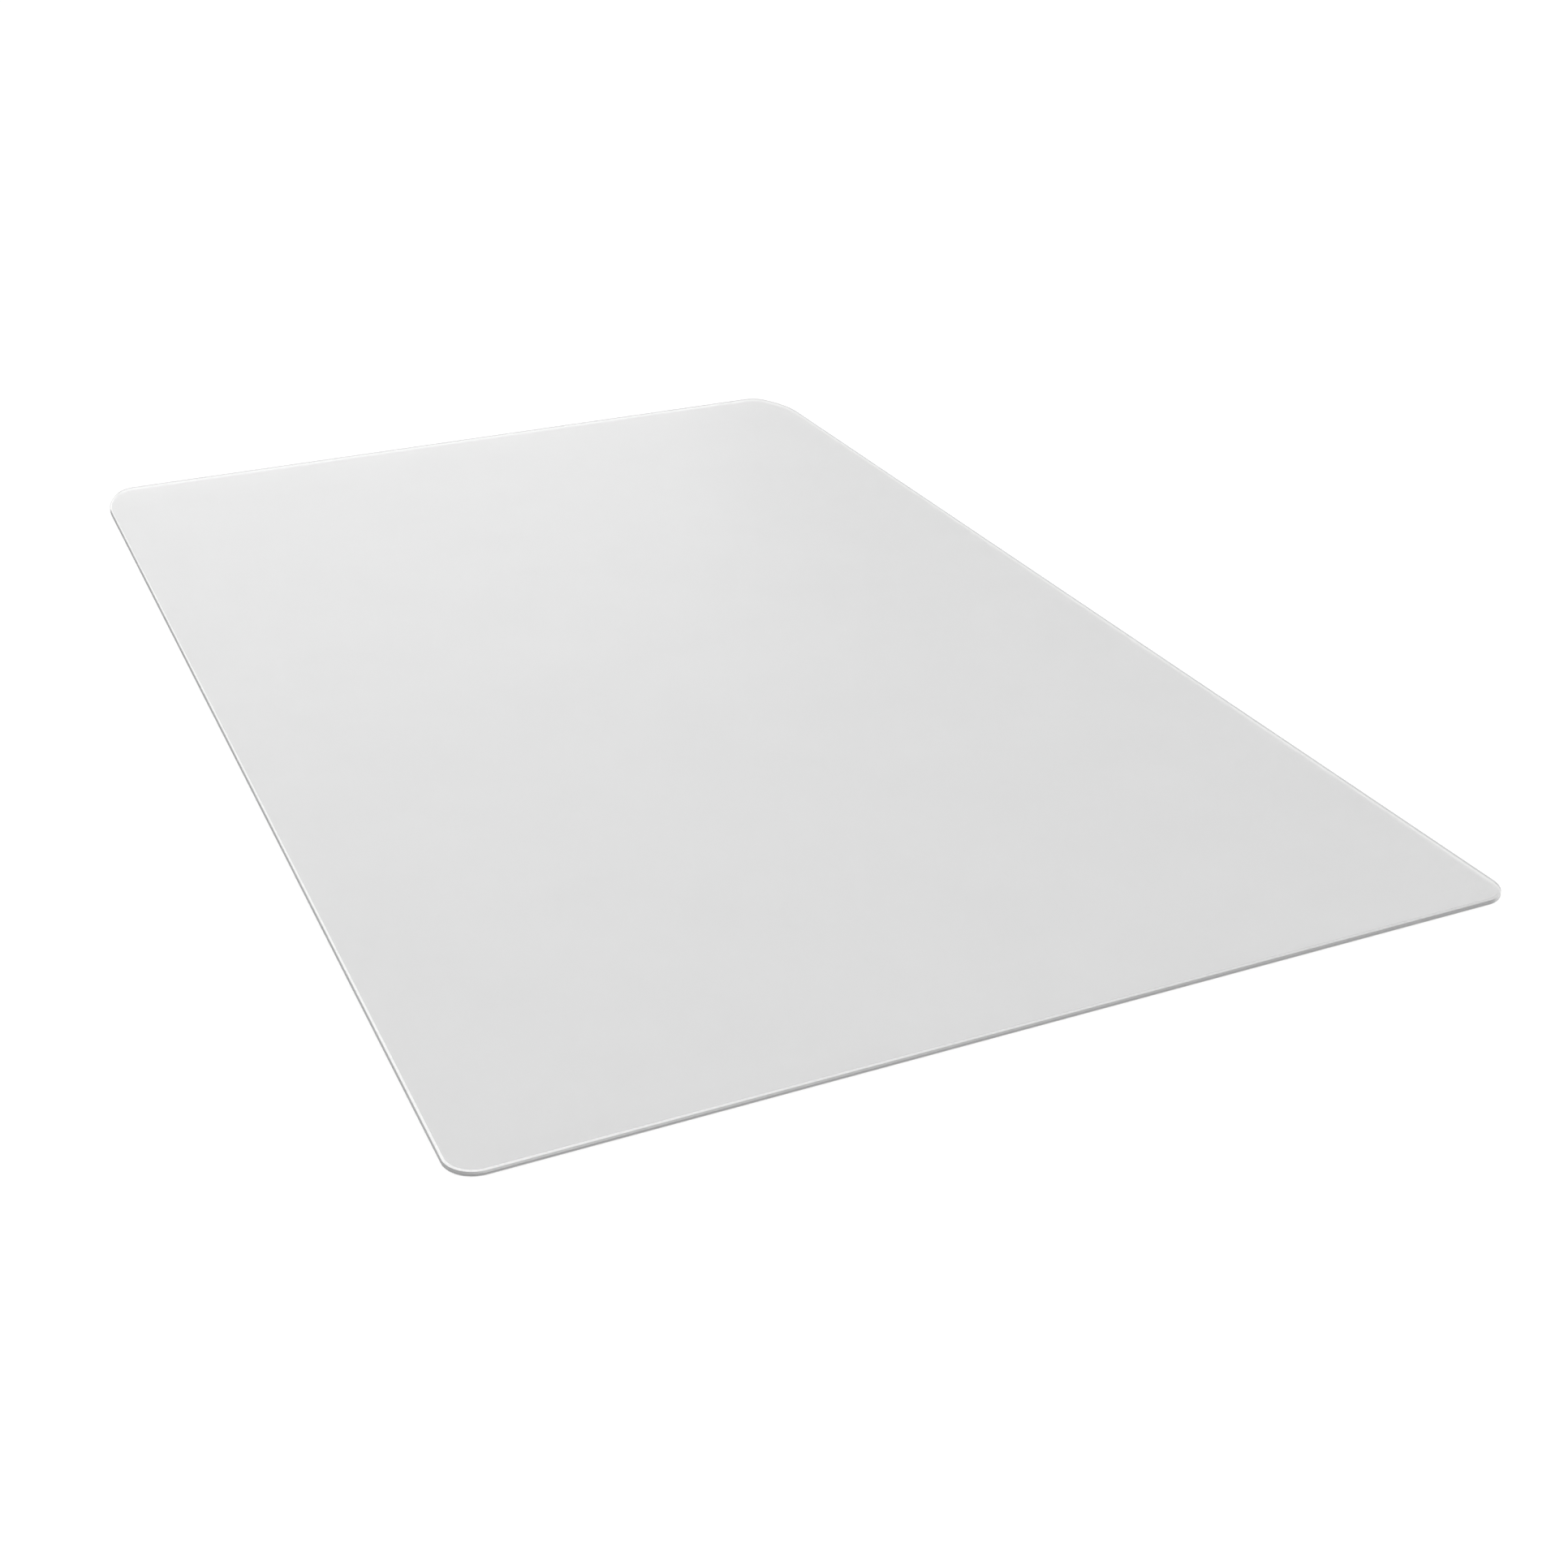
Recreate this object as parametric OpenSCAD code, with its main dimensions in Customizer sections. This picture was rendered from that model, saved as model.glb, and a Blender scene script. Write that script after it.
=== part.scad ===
// Hard-floor chair mat: a flat rectangular slab with rounded corners and a
// bevelled upper rim, laminated from five separate layers.
// Origin: centre of the underside. +X across the mat, +Y from the front edge
// to the back edge, +Z up from the floor. Millimetres.

/* [Outline] */
// Width of the mat, from side to side
mat_w = 914.4; // [600:0.1:1400]
// Length of the mat, from the front edge to the back edge
mat_l = 1524; // [800:0.1:2000]
// Radius of the tight arc at each of the four corners
corner_r = 26; // [12:1:40]
// Distance that the back corners reach in from the side edges
back_reach_x = 42; // [42:1:80]
// Distance that the back corners reach forward from the back edge
back_reach_y = 84; // [82:1:160]

/* [Layers] */
// Thickness of the matt film that castors roll on
wear_film_t = 0.2; // [0.1:0.05:0.5]
// Thickness of the clear top sheet, bevel included
top_sheet_t = 2.2; // [1:0.1:4]
// Thickness of the adhesive film between the two sheets
bond_film_t = 0.1; // [0.05:0.05:0.3]
// Thickness of the denser base sheet
base_sheet_t = 1.6; // [1:0.1:4]
// Thickness of the soft anti-slip layer that lies on the floor
grip_backing_t = 0.5; // [0.3:0.1:1.5]

/* [Rim] */
// Width of the bevel, measured inwards from the edge
bevel_w = 2.4; // [1:0.1:8]
// Height that the bevel falls by
bevel_drop = 0.3; // [0.1:0.05:0.9]

/* [Hidden] */

// Facets of a corner circle, enough to be taken as a true arc
corner_fn = 96;

// Height of each layer's lower face above the floor
base_sheet_z = grip_backing_t;
bond_film_z = base_sheet_z + base_sheet_t;
top_sheet_z = bond_film_z + bond_film_t;
wear_film_z = top_sheet_z + top_sheet_t;

// Height of the top sheet's upright edge, below the bevel
top_wall_t = top_sheet_t - bevel_drop;

// Distances from the origin to the centres of the tight corner arcs
front_x = mat_w / 2 - corner_r;
front_y = mat_l / 2 - corner_r;
back_x = mat_w / 2 - back_reach_x;
back_y = front_y;

// Towards the back, each side edge sweeps in along a wide arc that is tangent
// to the side edge at one end and to the tight corner arc at the other.
sweep_r = (back_reach_x ^ 2 + back_reach_y ^ 2 - 2 * back_reach_y * corner_r)
    / (2 * (back_reach_x - corner_r));
sweep_x = mat_w / 2 - sweep_r;
sweep_y = mat_l / 2 - back_reach_y;
sweep_angle = atan2(back_y - sweep_y, back_x - sweep_x);

// A slab whose edge stands `inset` inside the mat's outline and leans inwards
// by `lean` over its height. The arcs keep their centres, so the rim has one
// width all the way round.
module slab(height, inset = 0, lean = 0) {
    for (side = [0, 1])
        mirror([side, 0, 0]) {
            translate([front_x, -front_y, 0])
                arc_solid(corner_r - inset, height, lean);
            translate([back_x, back_y, 0])
                arc_solid(corner_r - inset, height, lean);
            translate([sweep_x, sweep_y, 0])
                sweep_sector(sweep_r - inset, height, lean);
        }
    side_band(height, inset, lean);
    end_band(2 * front_x, front_y, corner_r - inset, height, lean);
    mirror([0, 1, 0])
        end_band(2 * back_x, sweep_y, back_reach_y - inset, height, lean);
}

// A disc, or a cone where the edge leans
module arc_solid(radius, height, lean) {
    cylinder(r1 = radius, r2 = radius - lean, h = height, $fn = corner_fn);
}

// The sector of the wide arc, from the side edge to the tight corner arc
module sweep_sector(radius, height, lean) {
    reach = 2 * radius;
    intersection() {
        arc_solid(radius, height, lean);
        linear_extrude(height = height)
            polygon([[0, 0], [reach, 0], reach * [cos(sweep_angle), sin(sweep_angle)]]);
    }
}

// The full width of the mat, from the front corners to the back ones
module side_band(height, inset, lean) {
    foot = mat_w / 2 - inset;
    head = foot - lean;
    translate([0, sweep_y, 0])
        rotate([90, 0, 0])
            linear_extrude(height = sweep_y + front_y)
                polygon([[-foot, 0], [foot, 0], [head, height], [-head, height]]);
}

// The strip between two corners, `reach` deep outwards from `inner_y`
module end_band(width, inner_y, reach, height, lean) {
    translate([-width / 2, -inner_y, 0])
        rotate([90, 0, 90])
            linear_extrude(height = width)
                polygon([[0, 0], [-reach, 0], [-(reach - lean), height], [0, height]]);
}

// Matt film over the flat of the face, ending where the bevel starts
module wear_film() {
    color("gainsboro")
        translate([0, 0, wear_film_z])
            slab(wear_film_t, inset = bevel_w);
}

// Clear sheet with an upright edge and a bevel above it
module top_sheet() {
    color("whitesmoke") {
        translate([0, 0, top_sheet_z])
            slab(top_wall_t);
        translate([0, 0, top_sheet_z + top_wall_t])
            slab(bevel_drop, lean = bevel_w);
    }
}

// Clear adhesive over the whole area between the two sheets
module bond_film() {
    color("lightgray")
        translate([0, 0, bond_film_z])
            slab(bond_film_t);
}

// Denser sheet that keeps the mat flat
module base_sheet() {
    color("darkgray")
        translate([0, 0, base_sheet_z])
            slab(base_sheet_t);
}

// Soft layer that holds the mat on a smooth floor
module grip_backing() {
    color("silver")
        slab(grip_backing_t);
}

wear_film();
top_sheet();
bond_film();
base_sheet();
grip_backing();
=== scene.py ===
"""Looks of the chair mat: a clear laminated slab with a matt face on a white floor.

Everything is in metres in the CAD frame: +X across the mat, +Y from the front
edge to the back edge, +Z up, origin at the centre of the underside.
"""
import math

import bmesh
import bpy
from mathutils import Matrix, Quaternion, Vector


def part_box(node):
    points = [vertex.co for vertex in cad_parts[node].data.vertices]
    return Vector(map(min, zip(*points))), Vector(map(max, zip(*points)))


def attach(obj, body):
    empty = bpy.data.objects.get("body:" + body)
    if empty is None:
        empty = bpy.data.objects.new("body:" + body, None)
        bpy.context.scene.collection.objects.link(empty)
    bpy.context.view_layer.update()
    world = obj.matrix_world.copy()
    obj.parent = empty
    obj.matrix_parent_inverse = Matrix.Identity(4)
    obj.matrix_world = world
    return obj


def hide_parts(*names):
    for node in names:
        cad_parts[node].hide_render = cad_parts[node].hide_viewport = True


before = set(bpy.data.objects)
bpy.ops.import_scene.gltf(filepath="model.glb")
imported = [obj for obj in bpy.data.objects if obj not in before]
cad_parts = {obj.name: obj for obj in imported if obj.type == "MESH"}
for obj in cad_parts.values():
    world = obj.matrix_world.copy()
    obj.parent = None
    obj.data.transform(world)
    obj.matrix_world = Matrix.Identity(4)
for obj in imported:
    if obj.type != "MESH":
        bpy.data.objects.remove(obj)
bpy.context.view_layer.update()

MM = 0.001

# ---------------------------------------------------------------- the outline
SHEET_LOW, SHEET_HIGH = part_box("base_sheet")
MAT_W = SHEET_HIGH.x - SHEET_LOW.x
MAT_L = SHEET_HIGH.y - SHEET_LOW.y

CORNER_R = 26 * MM  # tight arc at all four corners
BACK_REACH_X = 42 * MM  # how far the back corners reach in from the sides
BACK_REACH_Y = 84 * MM  # and forward from the back edge
BEVEL_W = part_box("top_sheet")[1].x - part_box("wear_film")[1].x
BEVEL_DROP = 0.3 * MM
ARC_STEP = math.radians(3)  # turn of the outline from one point to the next

# Wide arc that is tangent to the side edge and to the back corner's tight arc
SWEEP_R = (BACK_REACH_X**2 + BACK_REACH_Y**2 - 2 * BACK_REACH_Y * CORNER_R) / (
    2 * (BACK_REACH_X - CORNER_R)
)
SWEEP_X = MAT_W / 2 - SWEEP_R
SWEEP_Y = MAT_L / 2 - BACK_REACH_Y
BACK_X = MAT_W / 2 - BACK_REACH_X
BACK_Y = MAT_L / 2 - CORNER_R
SWEEP_TURN = math.atan2(BACK_Y - SWEEP_Y, BACK_X - SWEEP_X)

# ---------------------------------------------------------------- small edges
GAP = 0.02 * MM  # air left between two layers, so that their faces don't fight
ARRIS = 0.2 * MM  # rounding where the bevel meets the upright edge
ARRIS_STEPS = 4
BREAK = 0.08 * MM  # broken edge of each cut sheet
FILM_BREAK = 0.06 * MM
GLUE_SET_BACK = 0.15 * MM  # the adhesive stops just short of the cut edge
GLUE_WIDTH = 9 * MM  # of adhesive that can be told apart at the rim
EDGE_PITCH = 24 * MM  # between points along a straight edge
SHARP_ANGLE = math.radians(32)  # edges that turn by more than this are shaded sharp


def arc(centre_x, centre_y, radius, start, end):
    """Points along a circular arc, both ends included."""
    steps = max(2, round(abs(end - start) / ARC_STEP))
    turns = [start + (end - start) * i / steps for i in range(steps + 1)]
    return [(centre_x + radius * math.cos(t), centre_y + radius * math.sin(t)) for t in turns]


def straight(start, end):
    """Points between two points, neither end included."""
    count = max(1, round(math.dist(start, end) / EDGE_PITCH))
    return [
        tuple(a + (b - a) * i / count for a, b in zip(start, end)) for i in range(1, count)
    ]


def right_half(inset):
    """The right half of the outline, from the front edge round to the back edge."""
    quarter = math.pi / 2
    front = arc(MAT_W / 2 - CORNER_R, -MAT_L / 2 + CORNER_R, CORNER_R - inset, -quarter, 0)
    sweep = arc(SWEEP_X, SWEEP_Y, SWEEP_R - inset, 0, SWEEP_TURN)
    back = arc(BACK_X, BACK_Y, CORNER_R - inset, SWEEP_TURN, quarter)
    return front + straight(front[-1], sweep[0]) + sweep + back[1:]


def ring(inset, z):
    """One closed loop of the slab at a height: up the right side, down the left."""
    right = right_half(inset)
    left = [(-x, y) for x, y in reversed(right)]
    return [Vector((x, y, z)) for x, y in right + left]


def add_cap(bm, loop, up):
    """Fills a loop with quads that run straight across the mat."""
    half = len(loop) // 2
    faces = []
    for i in range(half - 1):
        quad = [loop[i], loop[i + 1], loop[-2 - i], loop[-1 - i]]
        faces.append(bm.faces.new(quad if up else quad[::-1]))
    return faces


def add_band(bm, low, high):
    """Joins two loops of the slab's outside, the first one lower."""
    count = len(low)
    return [
        bm.faces.new((low[i], low[(i + 1) % count], high[(i + 1) % count], high[i]))
        for i in range(count)
    ]


def loft(name, profile, slots):
    """A closed slab whose edge follows a profile of (inset, z), lowest first.

    `slots` names a material index for the bottom, each band, and the top.
    """
    bm = bmesh.new()
    loops = [[bm.verts.new(p) for p in ring(inset, z)] for inset, z in profile]
    groups = [add_cap(bm, loops[0], up=False)]
    groups += [add_band(bm, low, high) for low, high in zip(loops, loops[1:])]
    groups.append(add_cap(bm, loops[-1], up=True))
    for faces, slot in zip(groups, slots):
        for face in faces:
            face.material_index = slot
    return finish_mesh(name, bm)


def finish_mesh(name, bm):
    """Turns a bmesh into a smooth-shaded object with sharp edges kept sharp."""
    bm.normal_update()
    mesh = bpy.data.meshes.new(name)
    bm.to_mesh(mesh)
    bm.free()
    mesh.shade_smooth()
    mesh.set_sharp_from_angle(angle=SHARP_ANGLE)
    obj = bpy.data.objects.new(name, mesh)
    bpy.context.scene.collection.objects.link(obj)
    return obj


# ---------------------------------------------------------------- the looks
# Tones are linear greys. A pair is the range that a pattern varies over, and a
# size is about how far apart the pattern's blotches are.
FILM = dict(tone=(0.62, 0.65), alpha=0.45, roughness=(0.42, 0.5))
FILM_CLOUD = 120 * MM
FILM_GRAIN = 1.1 * MM
FILM_GRAIN_DEPTH = 0.006 * MM

CLEAR = dict(tone=(0.80, 0.83), alpha=0.04, roughness=(0.05, 0.09))
DRAW_LINES = 14 * MM
DRAW_STRETCH = (1, 0.04, 1)  # drawn out along the mat's length

BEVEL = dict(alpha=0.55, roughness=(0.25, 0.35), gloss=0.15)
TOOL_MARKS = 2.5 * MM
TOOL_MARK_DEPTH = 0.01 * MM

BACKING = dict(tone=(0.70, 0.74), alpha=0.5, roughness=(0.6, 0.75))
BACKING_CLOUD = 90 * MM
BACKING_GRAIN = 0.8 * MM
BACKING_GRAIN_DEPTH = 0.03 * MM

EDGE_ROUGHNESS = (0.4, 0.6)
EDGE_STREAKS = 1.6 * MM
EDGE_STRETCH = (0.25, 0.25, 3)  # streaks run round the mat, not up its edge
EDGE_STREAK_DEPTH = 0.01 * MM
EDGE_MOTTLE = 0.05  # share that a cut edge's or the bevel's tone varies by

# Tones of a cut edge from outside, on the left side, along the two ends from left to
# right, and on the right side: painted shade, darkest on the left side and lightest on
# the right side. Then its tone from inside the sheet, painted light and shade seen
# through the clear layers, and how opaque it is from outside and from inside.
TOP_EDGE = dict(left=0.28, mid=(0.45, 0.28), right=0.58, inner=0.28, front=0.9, back=0.7)
BASE_EDGE = dict(left=0.23, mid=(0.26, 0.26), right=0.52, inner=0.90, front=0.92, back=0.10)
GLUE_EDGE = dict(left=0.21, mid=(0.22, 0.22), right=0.50, inner=0.60, front=0.9, back=0.15)
LEFT_TONE_END = 0.45 * CORNER_R  # all four by distance from the left side, for the painted edge shade
MID_TONE_START = CORNER_R
MID_TONE_END = MAT_W - 0.85 * CORNER_R
RIGHT_TONE_START = MAT_W - 0.6 * CORNER_R

# Tones of the bevel by distance from the left side: a painted highlight on the
# left side that falls off into painted shade on the right side
BEVEL_PAINTED_LIGHT_TONES = (
    (0, 0.91),
    (0.2 * CORNER_R, 0.91),
    (CORNER_R, 0.86),
    (MAT_W - CORNER_R, 0.57),
    (MAT_W, 0.52),
)

# Painted shade: tones fade from front to back along the left side, and along the
# back edge
LEFT_SIDE = -MAT_W / 2 + CORNER_R / 2  # the left side's fade is full up to here
LEFT_EDGE_PAINTED_SHADE = 0.35  # painted shade: share of a cut edge's tone left at the left side's back end
LEFT_BEVEL_PAINTED_SHADE = 0.8  # the same for the bevel
BACK_BEVEL_PAINTED_SHADE = 0.50  # painted shade: share of the bevel's tone that is left along the back edge
LEFT_SHADE_LINE_WIDTH = (0.35 * MM, 1.1 * MM)  # painted shade line on the bevel's left side: its width at the front and back
LEFT_SHADE_LINE_TONE = 0.3  # share of the bevel's tone that is left in that line
# softness of the inner side of that painted shade line
LEFT_SHADE_LINE_BLUR = 0.1 * MM


# ---------------------------------------------------------------- nodes
def grey(tone):
    """An opaque grey."""
    return (tone, tone, tone, 1)


def new_material(name):
    """A node material with its Principled shader, and its tree."""
    material = bpy.data.materials.new(name)
    material.use_nodes = True
    shader = material.node_tree.nodes["Principled BSDF"]
    return material, material.node_tree, shader


def place(tree, stretch=(1, 1, 1)):
    """Object coordinates, in metres, stretched along each axis."""
    mapping = tree.nodes.new("ShaderNodeMapping")
    mapping.inputs["Scale"].default_value = stretch
    tree.links.new(tree.nodes.new("ShaderNodeTexCoord").outputs["Object"], mapping.inputs[0])
    return mapping.outputs[0]


def noise(tree, size, detail=2.0, stretch=(1, 1, 1), roughness=0.5):
    """Noise whose blotches are about `size` metres across, as a value output."""
    made = tree.nodes.new("ShaderNodeTexNoise")
    made.inputs["Scale"].default_value = 1 / size
    made.inputs["Detail"].default_value = detail
    made.inputs["Roughness"].default_value = roughness
    tree.links.new(place(tree, stretch), made.inputs["Vector"])
    return made.outputs[0]


def span(tree, value, low, high, source_low=0.3, source_high=0.7):
    """Maps a value from one range to another. The first range suits noise."""
    made = tree.nodes.new("ShaderNodeMapRange")
    for key, number in (
        ("From Min", source_low),
        ("From Max", source_high),
        ("To Min", low),
        ("To Max", high),
    ):
        made.inputs[key].default_value = number
    tree.links.new(value, made.inputs["Value"])
    return made.outputs["Result"]


def mix(tree, value):
    """A colour mix by a value from 0 to 1: its two colour inputs and its output."""
    made = tree.nodes.new("ShaderNodeMix")
    made.data_type = "RGBA"
    tree.links.new(value, made.inputs[0])
    first, second = (plug for plug in made.inputs if plug.type == "RGBA")
    result = next(plug for plug in made.outputs if plug.type == "RGBA")
    return first, second, result


def tones(tree, value, dark, light):
    """A grey between two tones, by a value from 0 to 1."""
    first, second, result = mix(tree, value)
    first.default_value = grey(dark)
    second.default_value = grey(light)
    return result


def bump(tree, height, depth):
    """A bump of a real depth in metres."""
    made = tree.nodes.new("ShaderNodeBump")
    made.inputs["Distance"].default_value = depth
    tree.links.new(height, made.inputs["Height"])
    return made.outputs["Normal"]


def film_material():
    """Matt film: a fine stipple with a faint cloudy tone."""
    material, tree, shader = new_material("matt_film")
    cloud = noise(tree, FILM_CLOUD, detail=3)
    stipple = noise(tree, FILM_GRAIN, detail=3, roughness=0.6)
    colour = tones(tree, cloud, *FILM["tone"])
    tree.links.new(colour, shader.inputs["Base Color"])
    tree.links.new(span(tree, stipple, *FILM["roughness"]), shader.inputs["Roughness"])
    tree.links.new(bump(tree, stipple, FILM_GRAIN_DEPTH), shader.inputs["Normal"])
    shader.inputs["Alpha"].default_value = FILM["alpha"]
    return material


def clear_material():
    """Clear extruded sheet: polished, with faint long draw lines."""
    material, tree, shader = new_material("clear_sheet")
    lines = noise(tree, DRAW_LINES, stretch=DRAW_STRETCH)
    colour = tones(tree, lines, *CLEAR["tone"])
    tree.links.new(colour, shader.inputs["Base Color"])
    tree.links.new(span(tree, lines, *CLEAR["roughness"]), shader.inputs["Roughness"])
    shader.inputs["Alpha"].default_value = CLEAR["alpha"]
    return material


def from_middle(tree, axis):
    """Signed distance from the middle of the mat along one axis: 0 for X, 1 for Y."""
    parts = tree.nodes.new("ShaderNodeSeparateXYZ")
    tree.links.new(place(tree), parts.inputs[0])
    return parts.outputs[axis]


def math_node(tree, operation, first, second):
    """Two values put through one Math operation."""
    made = tree.nodes.new("ShaderNodeMath")
    made.operation = operation
    tree.links.new(first, made.inputs[0])
    tree.links.new(second, made.inputs[1])
    return made.outputs[0]


def mottle_and_painted_shade(tree, colour, pattern, painted_shade):
    """The colour varied a little by a pattern and dimmed by a factor of painted shade."""
    made = tree.nodes.new("ShaderNodeHueSaturation")
    variation = span(tree, pattern, 1 - EDGE_MOTTLE, 1 + EDGE_MOTTLE)
    tree.links.new(math_node(tree, "MULTIPLY", variation, painted_shade), made.inputs["Value"])
    tree.links.new(colour, made.inputs["Color"])
    return made.outputs[0]


def bevel_painted_shade(tree):
    """Painted shade: a factor that falls along the back edge and in a thin line
    down the left side.
    """
    back = MAT_L / 2
    along = span(tree, from_middle(tree, 1), 1, BACK_BEVEL_PAINTED_SHADE, back - CORNER_R, back - BEVEL_W)
    # painted shade: a dark line down the bevel's left side, wider towards the back
    width = span(tree, from_middle(tree, 1), *LEFT_SHADE_LINE_WIDTH, -back, back)
    inwards = math_node(tree, "SUBTRACT", from_middle(tree, 0), width)
    shade_line = span(tree, inwards, LEFT_SHADE_LINE_TONE, 1, -MAT_W / 2, -MAT_W / 2 + LEFT_SHADE_LINE_BLUR)
    edge = math_node(tree, "MULTIPLY", along, shade_line)
    return math_node(tree, "MULTIPLY", edge, left_side_painted_shade(tree, LEFT_BEVEL_PAINTED_SHADE))


def bevel_material():
    """Polished bevel with fine tool marks; its tone is a painted highlight and shade."""
    material, tree, shader = new_material("polished_bevel_painted_light_and_shade")
    marks = noise(tree, TOOL_MARKS, detail=3)
    colour = mottle_and_painted_shade(tree, across_mat(tree, BEVEL_PAINTED_LIGHT_TONES), marks, bevel_painted_shade(tree))
    tree.links.new(colour, shader.inputs["Base Color"])
    tree.links.new(span(tree, marks, *BEVEL["roughness"]), shader.inputs["Roughness"])
    tree.links.new(bump(tree, marks, TOOL_MARK_DEPTH), shader.inputs["Normal"])
    shader.inputs["Specular IOR Level"].default_value = BEVEL["gloss"]
    shader.inputs["Alpha"].default_value = BEVEL["alpha"]
    return material


def across_mat(tree, stops):
    """A grey that changes with distance from the left side: stops of (metres, tone)."""
    ramp = tree.nodes.new("ShaderNodeValToRGB")
    fraction = span(tree, from_middle(tree, 0), 0, 1, -MAT_W / 2, MAT_W / 2)
    tree.links.new(fraction, ramp.inputs[0])
    while len(ramp.color_ramp.elements) < len(stops):
        ramp.color_ramp.elements.new(0.5)
    for element, (distance, tone) in zip(ramp.color_ramp.elements, stops):
        element.position = distance / MAT_W
        element.color = grey(tone)
    return ramp.outputs[0]


def edge_painted_shade_stops(look):
    """Painted shade: darkest on the left side, lightest on the right side, in between
    on the ends.
    """
    return (
        (0, look["left"]),
        (LEFT_TONE_END, look["left"]),
        (MID_TONE_START, look["mid"][0]),
        (MID_TONE_END, look["mid"][1]),
        (RIGHT_TONE_START, look["right"]),
        (MAT_W, look["right"]),
    )


def left_side_painted_shade(tree, fade):
    """Painted shade: a factor that falls from front to back along the left side only."""
    along = span(tree, from_middle(tree, 1), 1, fade, -MAT_L / 2, MAT_L / 2)
    inner = span(tree, from_middle(tree, 0), 0, 1, LEFT_SIDE, LEFT_SIDE + CORNER_R / 2)
    return math_node(tree, "MAXIMUM", along, inner)


def cut_edge_material(name, look):
    """Cut edge of a clear sheet: dark from outside, clearer from inside it.

    Its tones are painted shade and light, darker on the left side than on the right,
    with a tone of their own from inside the sheet.
    """
    material, tree, shader = new_material(name)
    streaks = noise(tree, EDGE_STREAKS, detail=3, stretch=EDGE_STRETCH)
    inside = tree.nodes.new("ShaderNodeNewGeometry").outputs["Backfacing"]
    # painted light and shade: one tone for the edge seen from outside, another from inside
    seen_from_outside, seen_from_inside, side = mix(tree, inside)
    seen_from_inside.default_value = grey(look["inner"])
    tree.links.new(across_mat(tree, edge_painted_shade_stops(look)), seen_from_outside)
    colour = mottle_and_painted_shade(tree, side, streaks, left_side_painted_shade(tree, LEFT_EDGE_PAINTED_SHADE))
    tree.links.new(colour, shader.inputs["Base Color"])
    tree.links.new(span(tree, streaks, *EDGE_ROUGHNESS), shader.inputs["Roughness"])
    tree.links.new(bump(tree, streaks, EDGE_STREAK_DEPTH), shader.inputs["Normal"])
    alpha = span(tree, inside, look["front"], look["back"], 0, 1)
    tree.links.new(alpha, shader.inputs["Alpha"])
    return material


def backing_material():
    """Soft anti-slip layer with a fine grip grain."""
    material, tree, shader = new_material("grip_layer")
    grain = noise(tree, BACKING_GRAIN)
    cloud = noise(tree, BACKING_CLOUD, detail=3)
    colour = tones(tree, cloud, *BACKING["tone"])
    tree.links.new(colour, shader.inputs["Base Color"])
    tree.links.new(span(tree, grain, *BACKING["roughness"]), shader.inputs["Roughness"])
    tree.links.new(bump(tree, grain, BACKING_GRAIN_DEPTH), shader.inputs["Normal"])
    shader.inputs["Alpha"].default_value = BACKING["alpha"]
    return material


# ---------------------------------------------------------------- the layers
def stand_for(piece, name, materials):
    """Gives a piece its materials and lets it stand for its CAD node."""
    for material in materials:
        piece.data.materials.append(material)
    piece.visible_shadow = False  # a clear sheet lets nearly all the light through
    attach(piece, "root")
    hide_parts(name)


def span_z(name):
    """The lower and upper faces' heights of a CAD node."""
    low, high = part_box(name)
    return low.z, high.z


def make_film():
    """The matt film, with its upper edge rounded."""
    low, high = span_z("wear_film")
    profile = [
        (BEVEL_W, low + GAP),
        (BEVEL_W, high - FILM_BREAK),
        (BEVEL_W + FILM_BREAK / 2, high - FILM_BREAK / 4),
        (BEVEL_W + FILM_BREAK * 1.5, high),
    ]
    piece = loft("matt_wear_film", profile, [0] * 5)
    stand_for(piece, "wear_film", [film_material()])


def rounded_arris(wall_top):
    """Profile points that round the corner between the edge and the bevel."""
    slope = math.atan2(BEVEL_DROP, BEVEL_W)
    turn = math.pi / 2 - slope
    reach = ARRIS * math.tan(turn / 2)
    points = []
    for i in range(ARRIS_STEPS + 1):
        angle = turn * i / ARRIS_STEPS
        points.append(
            (ARRIS * (1 - math.cos(angle)), wall_top - reach + ARRIS * math.sin(angle))
        )
    return points


def make_top_sheet(edge, clear, bevel):
    """The clear sheet: upright cut edge, rounded arris, then the bevel."""
    low, high = span_z("top_sheet")
    rounding = rounded_arris(high - BEVEL_DROP)
    profile = [(BREAK, low), (0, low + BREAK), *rounding, (BEVEL_W, high)]
    bands = [1] * (2 + ARRIS_STEPS) + [2]
    piece = loft("clear_top_sheet", profile, [0, *bands, 0])
    stand_for(piece, "top_sheet", [clear, edge, bevel])


def make_base_sheet(edge, clear):
    """The denser sheet, with both of its edges broken."""
    low, high = span_z("base_sheet")
    high -= GAP
    profile = [(BREAK, low + GAP), (0, low + GAP + BREAK), (0, high - BREAK), (BREAK, high)]
    piece = loft("clear_base_sheet", profile, [0, 1, 1, 1, 0])
    stand_for(piece, "base_sheet", [clear, edge])


def make_bond_film(edge, clear):
    """The rim of the adhesive, as a flat closed frame: further in it can't be seen."""
    low, high = span_z("bond_film")
    high -= GAP
    bm = bmesh.new()
    outer = [[bm.verts.new(p) for p in ring(GLUE_SET_BACK, z)] for z in (low, high)]
    inner = [[bm.verts.new(p) for p in ring(GLUE_WIDTH, z)] for z in (low, high)]
    walls = add_band(bm, outer[0], outer[1])
    flats = add_band(bm, outer[1], inner[1]) + add_band(bm, inner[1], inner[0])
    flats += add_band(bm, inner[0], outer[0])
    for face in walls:
        face.material_index = 1
    piece = finish_mesh("bond_film_rim", bm)
    stand_for(piece, "bond_film", [clear, edge])


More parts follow.
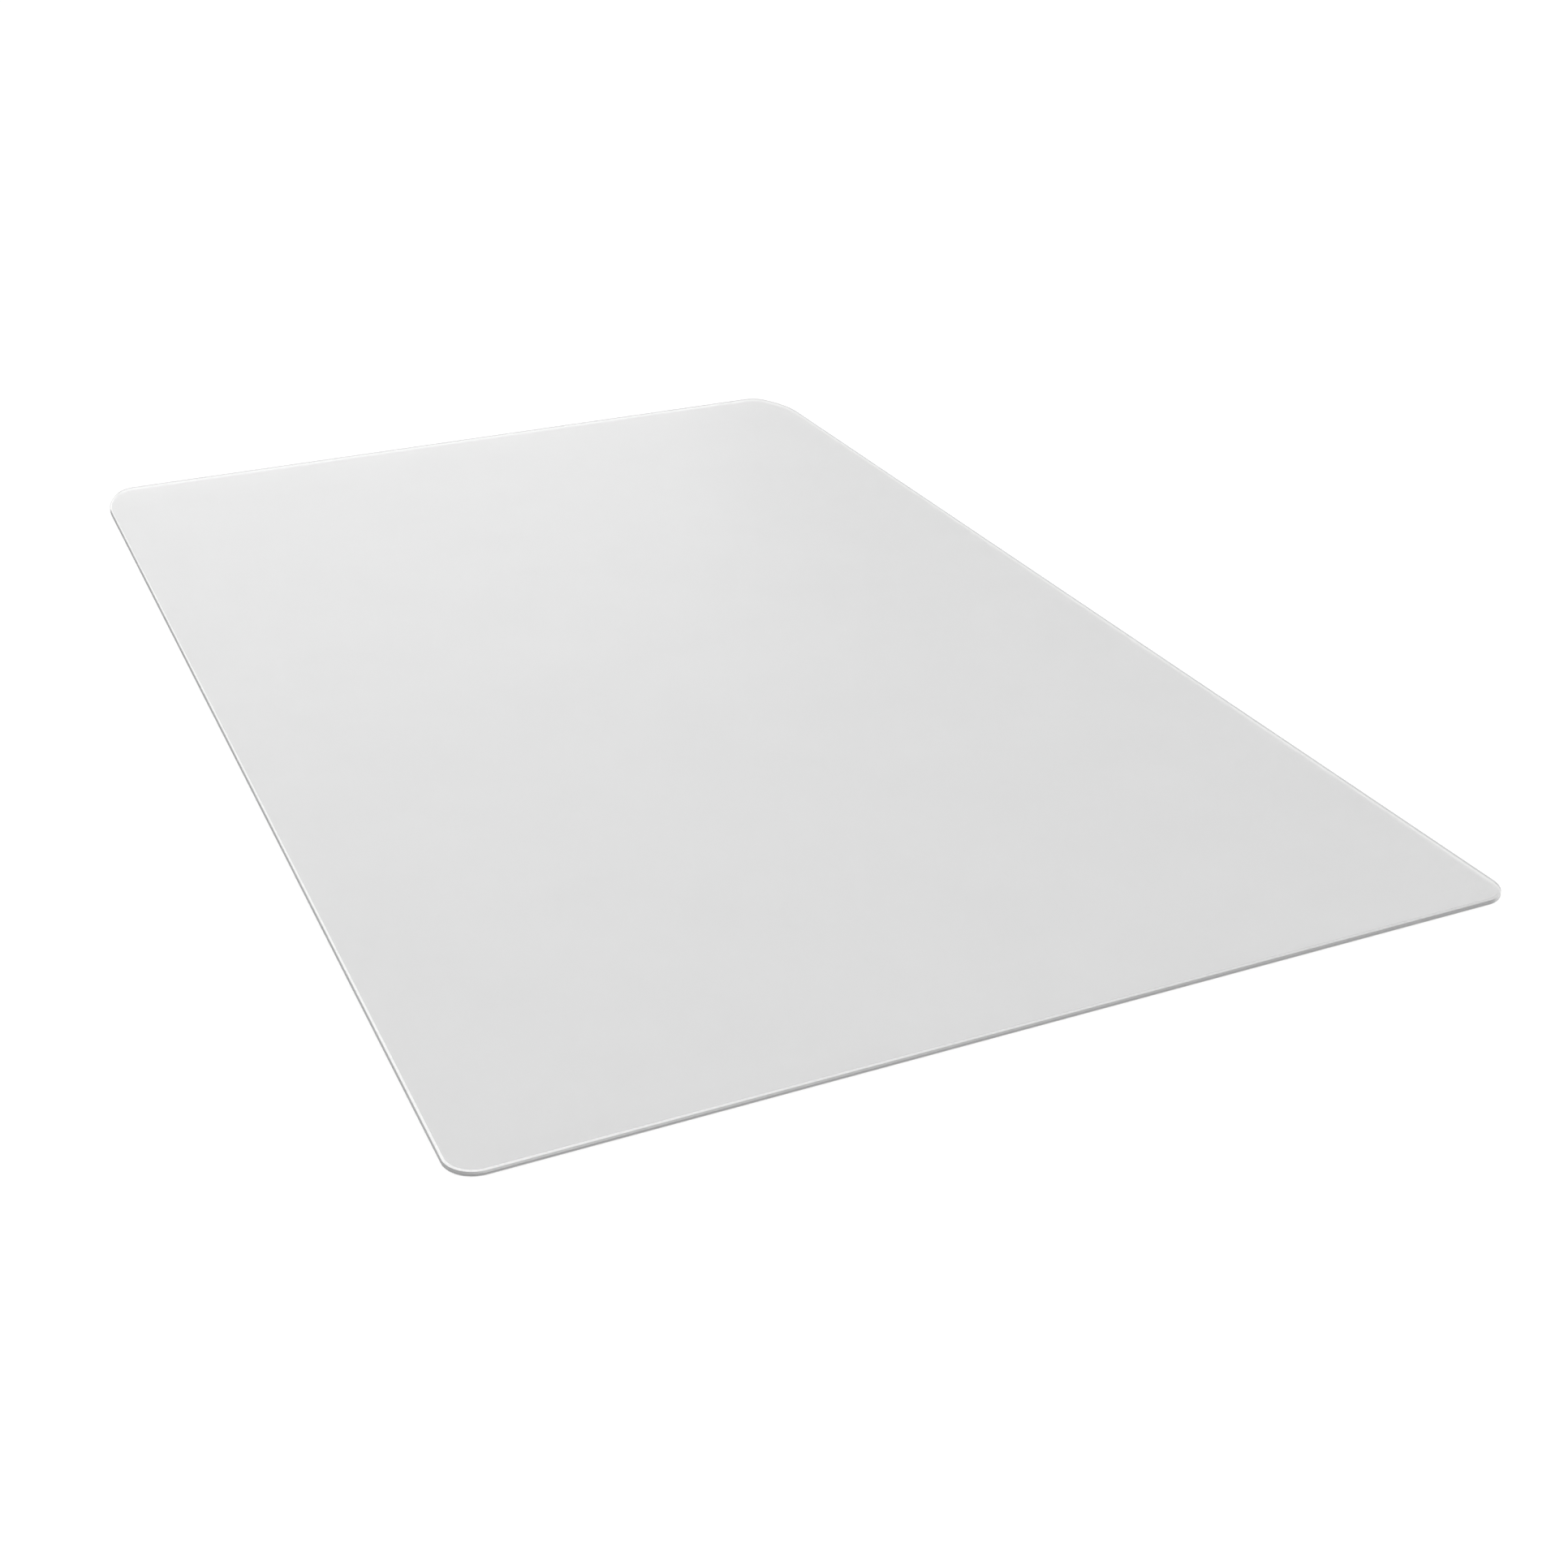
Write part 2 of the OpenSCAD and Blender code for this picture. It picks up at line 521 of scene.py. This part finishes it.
def make_backing():
    """The soft layer, with its lower edge broken."""
    low, high = span_z("grip_backing")
    high -= GAP
    profile = [(BREAK * 2, low), (0, low + BREAK * 2), (0, high)]
    piece = loft("grip_backing_layer", profile, [0] * 4)
    stand_for(piece, "grip_backing", [backing_material()])


# ---------------------------------------------------------------- the stage
FLOOR_SIZE = 60.0
FLOOR_DROP = 0.1 * MM
FLOOR = dict(tone=0.95, roughness=0.9, gloss=0.1)
WORLD_STRENGTH = 1.06
CLEAR_CROSSINGS = 24  # see-through surfaces that a ray of light may cross

# Soft lights: where each stands, what it faces, its width and height, its watts
PANELS = dict(
    back_panel=((-0.05, 4.6, 1.1), (0, 0.3, 0), (4.4, 2.0), 39),
    overhead_panel=((0, 0, 4.0), (0, 0, 0), (4.0, 4.0), 42),
    back_left_panel=((-1.2, 1.5, 2.5), (-0.4, 0.5, 0), (3.0, 3.0), 8),
)

LENS_MM = 50.497
SENSOR_MM = 36.0
AIM = Vector((-0.00873 * MAT_W, -0.20679 * MAT_L, 0))
VIEW_AZIMUTH = math.radians(-23.89)
VIEW_ELEVATION = math.radians(27.334)
VIEW_DISTANCE = 1.32916 * MAT_L
VIEW_ROLL = math.radians(-0.568)


def make_camera():
    """A 50 mm lens in front of the mat, to its left and above it."""
    back = Vector(
        (
            math.sin(VIEW_AZIMUTH) * math.cos(VIEW_ELEVATION),
            -math.cos(VIEW_AZIMUTH) * math.cos(VIEW_ELEVATION),
            math.sin(VIEW_ELEVATION),
        )
    )
    data = bpy.data.cameras.new("camera")
    data.lens, data.sensor_width = LENS_MM, SENSOR_MM
    camera = bpy.data.objects.new("camera", data)
    camera.location = AIM + back * VIEW_DISTANCE
    turn = (-back).to_track_quat("-Z", "Y") @ Quaternion((0, 0, 1), VIEW_ROLL)
    camera.rotation_euler = turn.to_euler()
    bpy.context.scene.collection.objects.link(camera)
    bpy.context.scene.camera = camera


def floor_material():
    """Pale floor that lets the underside of the mat be seen from below."""
    material, tree, shader = new_material("white_floor")
    shader.inputs["Base Color"].default_value = grey(FLOOR["tone"])
    shader.inputs["Roughness"].default_value = FLOOR["roughness"]
    shader.inputs["Specular IOR Level"].default_value = FLOOR["gloss"]
    below = tree.nodes.new("ShaderNodeNewGeometry").outputs["Backfacing"]
    tree.links.new(span(tree, below, 1, 0, 0, 1), shader.inputs["Alpha"])
    return material


def make_floor():
    """A wide floor just under the mat."""
    bpy.ops.mesh.primitive_plane_add(size=FLOOR_SIZE, location=(0, 0, -FLOOR_DROP))
    floor = bpy.context.object
    floor.name = "floor"
    floor.data.materials.append(floor_material())


def make_world():
    """Even white light from all round."""
    world = bpy.data.worlds.new("studio")
    world.use_nodes = True
    background = world.node_tree.nodes["Background"]
    background.inputs["Color"].default_value = (1, 1, 1, 1)
    background.inputs["Strength"].default_value = WORLD_STRENGTH
    bpy.context.scene.world = world


def make_panel(name, place_at, aim_at, size, watts):
    """A soft rectangular light that faces a point."""
    data = bpy.data.lights.new(name, "AREA")
    data.shape = "RECTANGLE"
    data.size, data.size_y = size
    data.energy = watts
    lamp = bpy.data.objects.new(name, data)
    lamp.location = place_at
    lamp.rotation_euler = (Vector(aim_at) - Vector(place_at)).to_track_quat("-Z", "Y").to_euler()
    bpy.context.scene.collection.objects.link(lamp)


def make_lights():
    """All the soft lights."""
    for name, panel in PANELS.items():
        make_panel(name, *panel)


def main():
    make_camera()
    make_world()
    make_floor()
    make_lights()
    clear, bevel = clear_material(), bevel_material()
    make_film()
    make_top_sheet(cut_edge_material("top_sheet_cut_edge", TOP_EDGE), clear, bevel)
    make_bond_film(cut_edge_material("adhesive_edge", GLUE_EDGE), clear)
    make_base_sheet(cut_edge_material("base_sheet_cut_edge", BASE_EDGE), clear)
    make_backing()
    scene = bpy.context.scene
    scene.view_settings.view_transform = "Standard"
    scene.cycles.transparent_max_bounces = CLEAR_CROSSINGS


main()
